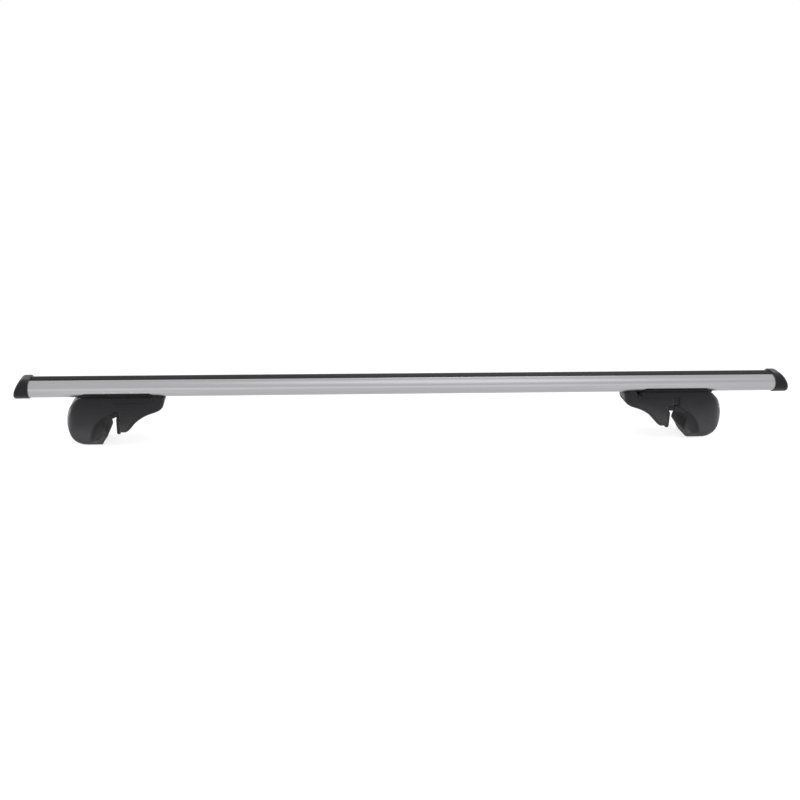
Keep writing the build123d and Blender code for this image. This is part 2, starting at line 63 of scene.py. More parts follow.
JAW_TOP, JAW_IN, TONGUE_OUT, RUN = 77.2, -96.6, 20.5, 0.3
BOSS_LOW, KEY_SCREW_IN = 66.2, -66.0
SECTION = [(21.0, 0.0), (24.2, 1.0), (27.0, 4.8), (29.2, 12.0), (30.7, 24.0), (HALF_W, 38.0),
           (30.0, 52.0), (27.9, 62.0), (25.2, ARM_Z), (21.6, RIM_Z)]
LIP_FRONT = [(TOE_X, 0.0), (0.9, 4.6), (-1.9, 9.4), (-4.9, 13.8)]
LIP_BACK = [(-4.9, 13.8), (-5.5, 16.4), (-4.0, 18.2), (-1.0, 17.6), (3.2, 14.0), (7.6, 10.6), (12.2, 9.2), (16.3, 10.4), (19.2, 13.9)]
LINING = [(-5.05, 13.7), (-6.2, 15.4), (-6.6, 18.0), (-6.2, 21.5), (-5.1, 26.0), (-3.9, 31.0), (-3.7, 36.0), (-5.2, 40.4), (-8.6, 43.2),
          (-12.6, 44.8), (-16.6, 46.2), (-20.6, LIP_LOW)]
LINING_BACK = [(-5.05, 13.7), (-5.6, 16.42), (-4.02, 18.3), (-0.95, 17.69), (3.26, 14.08), (7.65, 10.69), (12.2, 9.3), (16.24, 10.48)]

# places of the feet and jaws, read from the frame
FOOT_X = {"left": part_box("foot_left")[1].x * 1000 + ARM_IN, "right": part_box("foot_right")[0].x * 1000 - ARM_IN}
JAW_X = {"left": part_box("jaw_left")[0].x * 1000 + TONGUE_OUT, "right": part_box("jaw_right")[1].x * 1000 - TONGUE_OUT}
SIDE = {"left": -1.0, "right": 1.0}


# ------------------------------------------------------------------ outlines and distance fields
def spline(pts, t0=None, t1=None, n=14):
    """Smooth cubic through the points, by chord length, with optional end directions."""
    p = np.array(pts, float)
    m = len(p)
    d = np.linalg.norm(np.diff(p, axis=0), axis=1)
    a, b = np.zeros((m, m)), np.zeros((m, 2))
    for i in range(1, m - 1):
        a[i, i - 1], a[i, i], a[i, i + 1] = d[i], 2 * (d[i - 1] + d[i]), d[i - 1]
        b[i] = 3 * (d[i] / d[i - 1] * (p[i] - p[i - 1]) + d[i - 1] / d[i] * (p[i + 1] - p[i]))
    for row, nxt, t, s, seg in ((0, 1, t0, p[1] - p[0], d[0]), (m - 1, m - 2, t1, p[-1] - p[-2], d[-1])):
        if t is None:
            a[row, row], a[row, nxt], b[row] = 2, 1, 3 * s / seg
        else:
            a[row, row], b[row] = 1, np.array(t, float) / np.linalg.norm(t)
    s = np.linalg.solve(a, b)
    out = []
    for i in range(m - 1):
        u = np.linspace(0, 1, n, endpoint=False)[:, None]
        out.append((2 * u**3 - 3 * u**2 + 1) * p[i] + (u**3 - 2 * u**2 + u) * d[i] * s[i]
                   + (-2 * u**3 + 3 * u**2) * p[i + 1] + (u**3 - u**2) * d[i] * s[i + 1])
    return [tuple(q) for q in np.concatenate(out)] + [tuple(p[-1])]


def arc(c, r, a0, a1, n=40):
    return [(c[0] + r * math.cos(t), c[1] + r * math.sin(t)) for t in np.linspace(a0, a1, n)]


def oval(grow, n=48):
    """The bar's oval outline grown by a distance, anticlockwise, about its own centre."""
    rx, rz = NOSE + grow, BAR_H / 2 + grow
    t = np.linspace(-math.pi / 2, math.pi / 2, n)
    right = [(BAR_FLAT + rx * math.cos(a), rz * math.sin(a)) for a in t]
    return right + [(-x, -z) for x, z in right]


def field(poly, us, vs):
    """Signed distance to a closed outline on a grid, negative inside."""
    p = np.array(poly, float)
    q = np.roll(p, -1, axis=0)
    keep = np.linalg.norm(q - p, axis=1) > 1e-9
    p, q = p[keep], q[keep]
    u, v = (g.ravel() for g in np.meshgrid(us, vs, indexing="ij"))
    best = np.full(u.shape, 1e18)
    inside = np.zeros(u.shape, bool)
    for (ax, ay), (bx, by) in zip(p, q):
        ex, ey = bx - ax, by - ay
        wx, wy = u - ax, v - ay
        t = np.clip((wx * ex + wy * ey) / (ex * ex + ey * ey), 0, 1)
        best = np.minimum(best, (wx - t * ex) ** 2 + (wy - t * ey) ** 2)
        if by != ay:
            cross = ((ay > v) != (by > v)) & (u < ex * (v - ay) / (by - ay) + ax)
            inside ^= cross
    d = np.sqrt(best)
    return np.where(inside, -d, d).reshape(len(us), len(vs))


def both(a, b, r):
    """Where two fields meet, with an edge rounded to radius r."""
    u, v = np.maximum(a + r, 0), np.maximum(b + r, 0)
    return np.minimum(np.maximum(a, b), -r) + np.sqrt(u * u + v * v)


def either(a, b, r):
    u, v = np.maximum(r - a, 0), np.maximum(r - b, 0)
    return np.maximum(np.minimum(a, b), r) - np.sqrt(u * u + v * v)


class Grid:
    """A block of sample points, with fields drawn on its three faces."""

    def __init__(self, lo, hi, step):
        self.lo, self.step = np.array(lo, float), step
        self.x, self.y, self.z = (np.arange(a, b + step, step) for a, b in zip(lo, hi))

    def xz(self, poly):
        return field(poly, self.x, self.z)[:, None, :]

    def yz(self, poly):
        return field(poly, self.y, self.z)[None, :, :]

    def xy(self, poly):
        return field(poly, self.x, self.y)[:, :, None]

    def slab_x(self, a, b):
        return np.maximum(a - self.x, self.x - b)[:, None, None]

    def rod_x(self, r, z):
        return (np.hypot(self.y[:, None], self.z[None, :] - z) - r)[None, :, :]

    def rod_z(self, r, x, y):
        return (np.hypot(self.x[:, None] - x, self.y[None, :] - y) - r)[:, :, None]

    def full(self, d):
        return np.broadcast_to(d, (len(self.x), len(self.y), len(self.z)))

    def mesh(self, d, even=0.0):
        """Vertices, faces and normals of the surface where the field is zero."""
        d = np.ascontiguousarray(self.full(d), dtype=np.float32)
        g = vdb.FloatGrid(float(6 * self.step))
        g.copyFromArray(d)
        pts, tris, quads = g.convertToPolygons(isovalue=0.0, adaptivity=even)
        pts = np.asarray(pts, float)
        f = [tuple(int(i) for i in t) for t in tris] + [tuple(int(i) for i in t) for t in quads]
        return self.lo + pts * self.step, f, self.slope(d, pts)

    @staticmethod
    def slope(d, pts):
        """Unit gradient of the field at points given in samples."""
        def at(q):
            q = np.clip(q, 0, np.array(d.shape) - 1.001)
            i = q.astype(int)
            t = q - i
            out = 0.0
            for k in range(8):
                o = np.array([k & 1, (k >> 1) & 1, k >> 2])
                wt = np.prod(np.where(o, t, 1 - t), axis=1)
                j = i + o
                out = out + wt * d[j[:, 0], j[:, 1], j[:, 2]]
            return out

        n = np.stack([at(pts + e) - at(pts - e) for e in 0.75 * np.eye(3)], axis=1)
        return n / np.maximum(np.linalg.norm(n, axis=1), 1e-9)[:, None]


# ------------------------------------------------------------------ objects
def flip_if_inside_out(v, f):
    a, b, c = (v[[t[k] for t in f]] for k in (0, 1, 2))
    vol = np.einsum("ij,ij->i", a, np.cross(b, c)).sum()
    quads = [t for t in f if len(t) == 4]
    if quads:
        a, b, c = (v[[t[k] for t in quads]] for k in (0, 2, 3))
        vol += np.einsum("ij,ij->i", a, np.cross(b, c)).sum()
    return f if vol > 0 else [tuple(reversed(t)) for t in f]


def make_object(name, v_mm, f, normals=None, sharp_deg=None):
    v = np.asarray(v_mm, float)
    f = flip_if_inside_out(v - v.mean(axis=0), f)
    mesh = bpy.data.meshes.new(name)
    mesh.from_pydata([tuple(p) for p in v * 0.001], [], f)
    mesh.polygons.foreach_set("use_smooth", [True] * len(mesh.polygons))
    if normals is not None:
        mesh.normals_split_custom_set_from_vertices([tuple(n) for n in normals])
    elif sharp_deg is not None:
        mesh.set_sharp_from_angle(angle=math.radians(sharp_deg))
    mesh.update()
    o = bpy.data.objects.new(name, mesh)
    scene.collection.objects.link(o)
    return o


def settle(o, body, node, mat):
    o.data.materials.clear()
    o.data.materials.append(mat)
    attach(o, body)
    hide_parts(node)
    return o


def to_row(v, side, x0):
    """Foot coordinates to the bar's frame."""
    return np.array(v, float) * (side, 1, 1) + (x0, 0, 0)


def extrude_loops(outer, inner, x0, x1):
    """A straight extrusion along X of an outline in y and z with hollow chambers."""
    bm = bmesh.new()
    rings = []
    for loop in [outer] + inner:
        ends = []
        for x in (x0, x1):
            vs = [bm.verts.new((x, y, z)) for y, z in loop]
            es = [bm.edges.new((vs[i], vs[(i + 1) % len(vs)])) for i in range(len(vs))]
            ends.append((vs, es))
        rings.append(ends)
        (va, _), (vb, _) = ends
        n = len(va)
        for i in range(n):
            bm.faces.new((va[i], va[(i + 1) % n], vb[(i + 1) % n], vb[i]))
    for k in (0, 1):
        edges = [e for ends in rings for e in ends[k][1]]
        bmesh.ops.triangle_fill(bm, use_beauty=True, use_dissolve=False, edges=edges)
    bmesh.ops.recalc_face_normals(bm, faces=bm.faces[:])
    return bm


def bm_object(name, bm, sharp_deg):
    mesh = bpy.data.meshes.new(name)
    bmesh.ops.scale(bm, vec=(0.001, 0.001, 0.001), verts=bm.verts[:])
    bm.to_mesh(mesh)
    bm.free()
    mesh.polygons.foreach_set("use_smooth", [True] * len(mesh.polygons))
    mesh.set_sharp_from_angle(angle=math.radians(sharp_deg))
    mesh.update()
    o = bpy.data.objects.new(name, mesh)
    scene.collection.objects.link(o)
    return o


def rounded(pts, radii, n=5):
    """A closed outline with its corners rounded, each by its own radius."""
    p = [np.array(q, float) for q in pts]
    out = []
    for i, q in enumerate(p):
        r = radii[i]
        a, b = p[i - 1], p[(i + 1) % len(p)]
        u, w = (a - q) / np.linalg.norm(a - q), (b - q) / np.linalg.norm(b - q)
        ang = math.acos(max(-1, min(1, float(u @ w))))
        if r <= 0 or ang > math.pi - 1e-3:
            out.append(tuple(q))
            continue
        t = min(r / math.tan(ang / 2), 0.49 * np.linalg.norm(a - q), 0.49 * np.linalg.norm(b - q))
        r = t * math.tan(ang / 2)
        c = q + (u + w) / np.linalg.norm(u + w) * (r / math.sin(ang / 2))
        s0, s1 = q + u * t - c, q + w * t - c
        a0, a1 = math.atan2(s0[1], s0[0]), math.atan2(s1[1], s1[0])
        d = (a1 - a0 + math.pi) % (2 * math.pi) - math.pi
        out += [(c[0] + r * math.cos(a0 + d * k / n), c[1] + r * math.sin(a0 + d * k / n)) for k in range(n + 1)]
    return out


# ------------------------------------------------------------------ materials
def new_material(name):
    m = bpy.data.materials.new(name)
    m.use_nodes = True
    t = m.node_tree
    t.nodes.clear()
    out = t.nodes.new("ShaderNodeOutputMaterial")
    p = t.nodes.new("ShaderNodeBsdfPrincipled")
    t.links.new(p.outputs["BSDF"], out.inputs["Surface"])
    return m, t, p


def coords(t, scale):
    c = t.nodes.new("ShaderNodeTexCoord")
    m = t.nodes.new("ShaderNodeMapping")
    m.inputs["Scale"].default_value = scale
    t.links.new(c.outputs["Object"], m.inputs["Vector"])
    return m.outputs["Vector"]


def noise(t, vec, scale, detail=3.0, rough=0.55):
    n = t.nodes.new("ShaderNodeTexNoise")
    n.inputs["Scale"].default_value = scale
    n.inputs["Detail"].default_value = detail
    n.inputs["Roughness"].default_value = rough
    t.links.new(vec, n.inputs["Vector"])
    return n.outputs["Fac"]


def ramp(t, fac, stops):
    r = t.nodes.new("ShaderNodeValToRGB")
    e = r.color_ramp.elements
    while len(e) < len(stops):
        e.new(0.5)
    for el, (pos, col) in zip(e, stops):
        el.position = pos
        el.color = col if len(col) == 4 else (*col, 1.0)
    t.links.new(fac, r.inputs["Fac"])
    return r.outputs["Color"]


def span_of(t, fac, lo, hi):
    m = t.nodes.new("ShaderNodeMapRange")
    m.inputs["From Min"].default_value = 0.3
    m.inputs["From Max"].default_value = 0.7
    m.inputs["To Min"].default_value = lo
    m.inputs["To Max"].default_value = hi
    t.links.new(fac, m.inputs["Value"])
    return m.outputs["Result"]


def bump(t, height, strength, distance, normal=None):
    b = t.nodes.new("ShaderNodeBump")
    b.inputs["Strength"].default_value = strength
    b.inputs["Distance"].default_value = distance
    t.links.new(height, b.inputs["Height"])
    if normal is not None:
        t.links.new(normal, b.inputs["Normal"])
    return b.outputs["Normal"]


def aluminium():
    m, t, p = new_material("anodised_aluminium")
    lines = noise(t, coords(t, (1.2, 260.0, 260.0)), 3.0, 4.0, 0.6)      # die lines along the extrusion
    cloud = noise(t, coords(t, (4.0, 30.0, 30.0)), 1.0, 2.0)
    mix = t.nodes.new("ShaderNodeMix")
    mix.data_type = "FLOAT"
    mix.inputs["Factor"].default_value = 0.45
    t.links.new(lines, mix.inputs["A"])
    t.links.new(cloud, mix.inputs["B"])
    t.links.new(ramp(t, mix.outputs["Result"], [(0.3, (0.370, 0.370, 0.380)), (0.7, (0.415, 0.415, 0.424))]), p.inputs["Base Color"])
    t.links.new(span_of(t, lines, 0.30, 0.40), p.inputs["Roughness"])
    t.links.new(bump(t, lines, 0.12, 0.00006), p.inputs["Normal"])
    p.inputs["Metallic"].default_value = 1.0
    return m


def plastic():
    m, t, p = new_material("grained_black_plastic")
    vec = coords(t, (1.0, 1.0, 1.0))
    cells = t.nodes.new("ShaderNodeTexVoronoi")
    cells.feature = "SMOOTH_F1"
    cells.inputs["Scale"].default_value = 1500.0
    cells.inputs["Smoothness"].default_value = 0.6
    t.links.new(vec, cells.inputs["Vector"])
    cloud = noise(t, vec, 38.0, 3.0)
    t.links.new(ramp(t, cloud, [(0.3, (0.0092, 0.0091, 0.0104)), (0.7, (0.0132, 0.0131, 0.0147))]), p.inputs["Base Color"])
    t.links.new(span_of(t, cloud, 0.46, 0.56), p.inputs["Roughness"])
    t.links.new(bump(t, cells.outputs["Distance"], 0.35, 0.00012), p.inputs["Normal"])
    # painted shade: sheen and specular follow the face's direction, so faces that look down along the bar (the mouth's
    # slope, soles, undersides) get little of either and show less of the bright floor's reflection
    c, sep = t.nodes.new("ShaderNodeTexCoord"), t.nodes.new("ShaderNodeSeparateXYZ")
    t.links.new(c.outputs["Normal"], sep.inputs["Vector"])
    across, keep = t.nodes.new("ShaderNodeMath"), t.nodes.new("ShaderNodeMath")
    across.operation, keep.operation = "ABSOLUTE", "MAXIMUM"
    t.links.new(sep.outputs["Y"], across.inputs[0])
    for k, (value, lo, hi) in enumerate(((across.outputs["Value"], 0.15, 0.35), (sep.outputs["Z"], -0.35, -0.2))):
        r = t.nodes.new("ShaderNodeMapRange")
        r.inputs["From Min"].default_value, r.inputs["From Max"].default_value = lo, hi
        t.links.new(value, r.inputs["Value"])
        t.links.new(r.outputs["Result"], keep.inputs[k])
    for name, lo, hi in (("Specular IOR Level", 0.04, 0.15), ("Sheen Weight", 0.0, 0.35)):
        r = t.nodes.new("ShaderNodeMapRange")
        r.inputs["To Min"].default_value, r.inputs["To Max"].default_value = lo, hi
        t.links.new(keep.outputs["Value"], r.inputs["Value"])
        t.links.new(r.outputs["Result"], p.inputs[name])
    p.inputs["Sheen Roughness"].default_value = 0.35
    return m


def rubber():
    m, t, p = new_material("black_rubber")
    vec = coords(t, (1.0, 1.0, 1.0))
    fine = noise(t, vec, 900.0, 3.0)
    cloud = noise(t, vec, 45.0, 2.0)
    t.links.new(ramp(t, cloud, [(0.3, (0.0085, 0.0085, 0.0092)), (0.7, (0.0130, 0.0130, 0.0138))]), p.inputs["Base Color"])
    t.links.new(span_of(t, fine, 0.66, 0.80), p.inputs["Roughness"])
    t.links.new(bump(t, fine, 0.30, 0.00015), p.inputs["Normal"])
    p.inputs["Specular IOR Level"].default_value = 0.16
    return m


def steel():
    m, t, p = new_material("zinc_plated_steel")
    vec = coords(t, (1.0, 1.0, 1.0))
    cloud = noise(t, vec, 160.0, 4.0, 0.65)
    t.links.new(ramp(t, cloud, [(0.3, (0.46, 0.465, 0.47)), (0.7, (0.60, 0.605, 0.61))]), p.inputs["Base Color"])
    t.links.new(span_of(t, cloud, 0.24, 0.38), p.inputs["Roughness"])
    t.links.new(bump(t, cloud, 0.10, 0.0001), p.inputs["Normal"])
    p.inputs["Metallic"].default_value = 1.0
    return m


ALU, PLASTIC, RUBBER, STEEL = aluminium(), plastic(), rubber(), steel()


# ------------------------------------------------------------------ bar and strip
def bar_outline():
    """Outer outline of the extrusion with its two slots, and its two side chambers."""
    def up(y):
        return BAR_H / 2 * math.sqrt(max(0.0, 1 - (max(abs(y) - BAR_FLAT, 0) / NOSE) ** 2))

    s, m, c = STRIP_W / 2, TOP_MOUTH / 2, TOP_CHAN_W / 2
    lm, lc = LOW_MOUTH / 2, LOW_CHAN_W / 2
    t_floor = 9.5 - TOP_CHAN_H
    l_in, l_top = -BAR_H / 2 + LIP, -BAR_H / 2 + LIP + LOW_CHAN_H
    a_top = math.asin(up(s) / (BAR_H / 2))
    right = [(BAR_FLAT + NOSE * math.cos(a), BAR_H / 2 * math.sin(a)) for a in np.linspace(-math.pi / 2, a_top, 64)]
    slot_top = rounded([(s, up(s)), (s, 11.5), (m, 11.5), (m, 9.5), (c, 9.5), (c, t_floor)], [0.35, 0.2, 0.3, 0.3, 0.2, 0.4], 4)
    slot_top = [q for q in slot_top]
    low = [(lc, l_top), (lc, l_in), (lm, l_in), (lm, -BAR_H / 2)]
    half = low + [(BAR_FLAT, -BAR_H / 2)] + right[1:-1] + [(s, up(s)), (s, 11.5), (m, 11.5), (m, 9.5), (c, 9.5), (c, t_floor)]
    radii = [0.3, 0.3, 0.3, 0.35] + [0] * (len(half) - 10) + [0.35, 0.2, 0.3, 0.3, 0.2, 0.4]
    full = half + [(-y, z) for y, z in reversed(half)]
    outer = rounded(full, radii + radii[::-1], 3)
    rx, rz = NOSE - BAR_WALL, BAR_H / 2 - BAR_WALL

    def inner_up(y):
        return rz * math.sqrt(max(0.0, 1 - ((y - BAR_FLAT) / rx) ** 2))

    yt, yl = (TOP_CHAN_W + 3.6) / 2, (LOW_CHAN_W + 3.6) / 2
    a0, a1 = -math.asin(inner_up(yl) / rz), math.asin(inner_up(yt) / rz)
    cham = [(1.0, -4.0), (yl, -4.0)] + [(BAR_FLAT + rx * math.cos(a), rz * math.sin(a)) for a in np.linspace(a0, a1, 32)] + [(yt, 2.7), (1.0, 2.7)]
    return outer, [cham, [(-y, z) for y, z in reversed(cham)]]


outer, chambers = bar_outline()
bar = bm_object("bar_extrusion", extrude_loops([(y, z + BAR_Z) for y, z in outer], [[(y, z + BAR_Z) for y, z in c] for c in chambers],
                                               -BAR_LEN / 2, BAR_LEN / 2), 24)
settle(bar, "bar", "bar", ALU)

w, m = STRIP_W / 2 - 0.1, TOP_MOUTH / 2 - 0.1
crown = [(y, 13.3 + 0.6 * (1 - (y / w) ** 2)) for y in np.linspace(w, -w, 25)]
strip_pts = [(-w, 11.6), (-m, 11.6), (-m, 9.35), (-7.4, 9.35), (-4.2, 6.4), (4.2, 6.4), (7.4, 9.35), (m, 9.35), (m, 11.6), (w, 11.6)] + crown
strip_r = [0.2, 0.2, 0.2, 0.5, 0.6, 0.6, 0.5, 0.2, 0.2, 0.2] + [0.5] + [0] * 23 + [0.5]
strip = bm_object("strip_rubber", extrude_loops([(y, z + BAR_Z) for y, z in rounded(strip_pts, strip_r, 4)], [], -BAR_LEN / 2 + 0.2, BAR_LEN / 2 - 0.2), 30)
settle(strip, "bar", "top_strip", RUBBER)


# ------------------------------------------------------------------ end caps
def cap_mesh():
    """One cap in its own coordinates: x outward from the bar's end, z about the bar's middle."""
    g = Grid((-21.5, -27.5, -17.5), (28.0, 27.5, 18.5), 0.6)
    hull = g.yz([(y, z + CAP_RISE) for y, z in oval(CAP_PROUD)])
    x1, xm, x2 = CAP_TOP - 1.0, CAP_TOP + 6.8, CAP_LOW + 0.5
    p = np.array([(x1, 16.0), (xm, 0.0), (x2, -16.0)])
    zs = np.linspace(26, -26, 60)
    co = np.polyfit(p[:, 1], p[:, 0], 2)
    face = [(float(np.polyval(co, z)), z) for z in zs] + [(-60, -26), (-60, 26)]
    d = both(hull, g.xz(face), 4.0)
    d = both(d, (0.05 - g.x)[:, None, None], 0.5)
    for y in (15.2, -15.2):
        lug = g.yz(rounded([(y - 3.2, -6.25), (y + 3.2, -6.25), (y + 3.2, 6.25), (y - 3.2, 6.25)], [1.5] * 4))
        d = np.minimum(d, both(np.broadcast_to(lug, g.full(d).shape), g.slab_x(-20.0, 2.0), 0.6))
    return g.mesh(d)


cv, cf, cn = cap_mesh()
for name in ("left", "right"):
    v = (cv + (BAR_LEN / 2, 0, BAR_Z)) * (SIDE[name], 1, 1)
    settle(make_object("cap_" + name, v, cf, cn * (SIDE[name], 1, 1)), "bar", "end_cap_" + name, PLASTIC)


# ------------------------------------------------------------------ feet
def section(shrink):
    right = [(19.0 - shrink, -30.0)] + spline([(y - shrink, z) for y, z in SECTION])
    return right + [(-y, z) for y, z in reversed(right)]


def arch(x, r=ARC_R):
    return ARC_C[1] + math.sqrt(r * r - (x - ARC_C[0]) ** 2)


def arc_point(r, z):
    return (ARC_C[0] + math.sqrt(r * r - (z - ARC_C[1]) ** 2), z)


def angle_at(q):
    return math.atan2(q[1] - ARC_C[1], q[0] - ARC_C[0])


def dish(g):
    """How deep the hook's ends are scooped inside its arc: most along the arc, none along the slot."""
    x, z = g.x[:, None, None], g.z[None, None, :]
    rim = ARC_R - np.hypot(x - ARC_C[0], z - ARC_C[1])
    rise, fall = np.clip(rim / 8.0, 0, 1), 1 - np.clip((rim - 4.0) / 20.0, 0, 1)
    fade_z, fade_x = np.clip((z - 3.0) / 12.0, 0, 1), np.clip((x + 15.0) / 13.0, 0, 1)
    return 6.5 * rise**2 * (3 - 2 * rise) * fall**1.3 * fade_z**2 * (3 - 2 * fade_z) * fade_x**2 * (3 - 2 * fade_x)


def slot_side():
    """Everything on the hook's side of the slot."""
    return [(TOE_X + 0.8, -20)] + spline(LIP_FRONT) + spline(LINING)[1:] + [(-100, LIP_LOW), (-100, 150), (150, 150), (150, -20)]


def half_width(g, shrink):
    s = np.array(spline(SECTION))
    return (np.interp(g.z, s[:, 1], s[:, 0]) - shrink)[None, None, :]


def foot_mesh():
    g = Grid((-78.0, -33.0, -1.5), (59.0, 33.0, 79.0), 0.6)
    outline = [(-200, 0), (HOOK_FLOOR, 0)] + spline(
        [(HOOK_FLOOR, 0), (34.0, 2.2), (45.8, 10.2), (54.2, 21.4), (FOOT_OUT, HOOK_BELLY_Z), (56.0, 46.5), (51.0, 57.8),
         (43.8, 68.0), (RIM_OUT, RIM_Z)], (1, 0), (-0.62, 0.78))[1:] + [(RIM_OUT - 12, RIM_Z + 15), (-200, RIM_Z + 15)]
    low, top = arc_point(ARC_R, LIP_BACK[-1][1]), (BLOCK_X, arch(BLOCK_X))
    hollow = [(-200, -20), (TOE_X + 0.8, -20)] + spline(LIP_FRONT) + spline(LIP_BACK[:-1] + [low])[1:] + arc(
        ARC_C, ARC_R, angle_at(low), angle_at(top))[1:] + [(-200, top[1])]
    jaw_room = [(-200, 0), (BLOCK_X, 0), (BLOCK_X, ARM_Z), (ARM_IN, ARM_Z), (ARM_IN, 200), (-200, 200)]
    wide = HALF_W + 4
    plan = [(-200, -wide), (16, -wide)] + spline(
        [(16, -wide), (38.5, -31.6), (49.5, -27.2), (55.2, -19.8), (57.3, -10.0), (FOOT_OUT + 0.3, 0), (57.3, 10.0), (55.2, 19.8),
         (49.5, 27.2), (38.5, 31.6), (16, wide)], (1, 0), (-1, 0))[1:] + [(-200, wide)]
    d = both(g.full(g.xz(outline)), g.yz(section(0)), 5.5)
    d = both(d, g.xy(plan), 8.0)
    inside = np.hypot(g.x[:, None] - ARC_C[0], g.z[None, :] - ARC_C[1])[:, None, :] - ARC_R
    d = both(d, -both(g.full(inside), half_width(g, 0.0) - dish(g) - np.abs(g.y)[None, :, None], 0.1), 1.6)
    d = both(d, -g.xz(hollow), 0.4)
    d = both(d, g.xz(slot_side()), 0.9)
    d = both(d, -g.xz(jaw_room), 0.15)
    d = both(d, -g.yz([(y, z + BAR_Z) for y, z in oval(SEAT_GAP)]), 0.6)
    pocket = np.maximum(g.yz([(POCKET_W_LOW, POCKET_LOW), (POCKET_W_TOP, ARM_Z + 0.01), (-POCKET_W_TOP, ARM_Z + 0.01), (-POCKET_W_LOW, POCKET_LOW)]),
                        g.slab_x(-90, POCKET_OUT))
    d = np.maximum(d, -pocket)
    boss = np.maximum(g.xy(rounded([(KEY_SCREW_IN - 6, -5), (KEY_SCREW_IN + 6, -5), (KEY_SCREW_IN + 6, 5), (KEY_SCREW_IN - 6, 5)], [2] * 4)),
                      np.maximum(BOSS_LOW - g.z, g.z - ARM_Z - 1)[None, None, :])
    d = np.minimum(d, boss)
    d = np.maximum(d, -np.maximum(g.full(g.rod_x(SCREW_BORE / 2, SCREW_Z)), g.slab_x(POCKET_OUT - 2, HEAD_SEAT + 1)))
    d = both(d, -np.maximum(g.full(g.rod_x(HEAD_BORE / 2, SCREW_Z)), g.slab_x(HEAD_SEAT, HEAD_SEAT + 60)), 0.9)
    return g.mesh(d, 0.03)


def hook_pad_mesh():
    g = Grid((-39.0, -33.0, 6.5), (21.5, 33.0, 58.0), 0.6)
    r = ARC_R - 0.1
    top_x = BLOCK_X - 0.3
    top, low = (top_x, arch(top_x, r)), arc_point(r, LIP_BACK[-1][1])
    outline = arc(ARC_C, r, angle_at(top), angle_at(low), 60) + spline([low] + LINING_BACK[::-1])[1:] + spline(LINING)[1:] + [
        (LIP_FULL, LIP_LOW), (LIP_FULL, LIP_TOP), (top_x, LIP_TOP)]
    y = np.abs(g.y)[None, :, None]
    d = both(g.full(g.xz(outline)), y - (half_width(g, 0.4) - dish(g)), 0.4)
    d = both(d, g.xz(slot_side()), 0.8)
    lip = g.xz([(LIP_FULL + 1, LIP_LOW), (LIP_IN, LIP_LOW), (LIP_IN, LIP_TOP), (LIP_FULL + 1, LIP_TOP)])
    d = np.minimum(d, both(g.full(lip), y - half_width(g, 2.6), 0.3))
    return g.mesh(d, 0.03)


def jaw_mesh():
    g = Grid((-99.0, -33.0, 20.5), (22.5, 33.0, 79.0), 0.6)
    s_curve = spline([(-32.5, JAW_LOW), (-38.0, 24.6), (-48.0, 35.7), (-59.4, 44.4), (-70.8, 49.4), (-83.2, 52.8), (-89.0, 56.4),
                      (-92.4, 63.6), (-94.2, 73.0)], (-1, 0), (-0.18, 0.98))
    low = [(60, JAW_LOW)] + s_curve + [(JAW_IN, 73.0), (JAW_IN, 90), (60, 90)]
    top = [(-200, JAW_TOP), (-200, -50), (200, -50), (200, ARM_Z - 0.06), (ARM_IN - 0.5, ARM_Z - 0.06), (ARM_IN - 0.5, JAW_TOP)]
    face = [(-200, -50), (JAW_FACE, -50), (JAW_FACE, JAW_SHELF), (BLOCK_X - 0.12, JAW_SHELF), (BLOCK_X - 0.12, 200), (-200, 200)]
    plan_r = spline([(0, HALF_W + 5), (-26, HALF_W + 3), (-45, 31.2), (-65, 27.6), (-84, 22.6), (JAW_IN - 2, 16.2)])
    plan = [(60, -HALF_W - 5), (60, HALF_W + 5)] + plan_r + [(x, -y) for x, y in reversed(plan_r)]
    wall = both(g.full(g.yz(section(0))), g.xy(plan), 3.0)
    d = both(wall, g.xz(low), 6.0)
    d = both(d, g.xz(face), 0.4)
    d = both(d, g.xz(top), 0.15)
    d = both(d, -g.yz([(y, z + BAR_Z) for y, z in oval(RUN + 0.05)]), 0.15)
    groove = g.xz([(JAW_FACE + 1, PAD_TOP), (GROOVE_IN, PAD_TOP), (GROOVE_IN, JAW_SHELF), (JAW_FACE + 1, JAW_SHELF)])
    d = np.maximum(d, -np.maximum(g.full(groove), np.abs(g.y)[None, :, None] - half_width(g, 2.2)))
    tongue = np.maximum(g.yz([(POCKET_W_LOW - RUN - 0.1, POCKET_LOW + RUN), (POCKET_W_TOP - RUN - 0.1, ARM_Z - RUN),
                              (-POCKET_W_TOP + RUN + 0.1, ARM_Z - RUN), (-POCKET_W_LOW + RUN + 0.1, POCKET_LOW + RUN)]),
                        g.slab_x(BLOCK_X - 4, TONGUE_OUT))
    d = np.minimum(d, tongue)
    d = np.maximum(d, -np.maximum(g.full(g.rod_x(SCREW_BORE / 2, SCREW_Z)), g.slab_x(-31.0, TONGUE_OUT + 2)))
    nut = np.maximum(g.xy([(8.9, -5.1), (14.1, -5.1), (14.1, 5.1), (8.9, 5.1)]), (SCREW_Z - 5.05 - g.z)[None, None, :])
    groove = np.maximum(g.xy([(-57 - 15.8, -5.4), (-57 + 15.8, -5.4), (-57 + 15.8, 5.4), (-57 - 15.8, 5.4)]), (BOSS_LOW - 0.4 - g.z)[None, None, :])
    d = np.maximum(d, -np.minimum(g.full(nut), groove))
    return g.mesh(d, 0.03)


def jaw_pad_mesh():
    g = Grid((-28.0, -31.5, 18.5), (-19.5, 31.5, 50.0), 0.55)
    a, b = JAW_FACE + 0.02, JAW_FACE + PAD_T
    outline = [(a, JAW_LOW - 1.9), (b - 1.2, JAW_LOW - 1.9), (b, JAW_LOW + 0.1), (b, PAD_TOP - 2.4), (b - 1.6, PAD_TOP), (a, PAD_TOP)]
    d = both(g.full(g.xz(outline)), g.yz(section(1.6)), 1.0)
    return g.mesh(d)


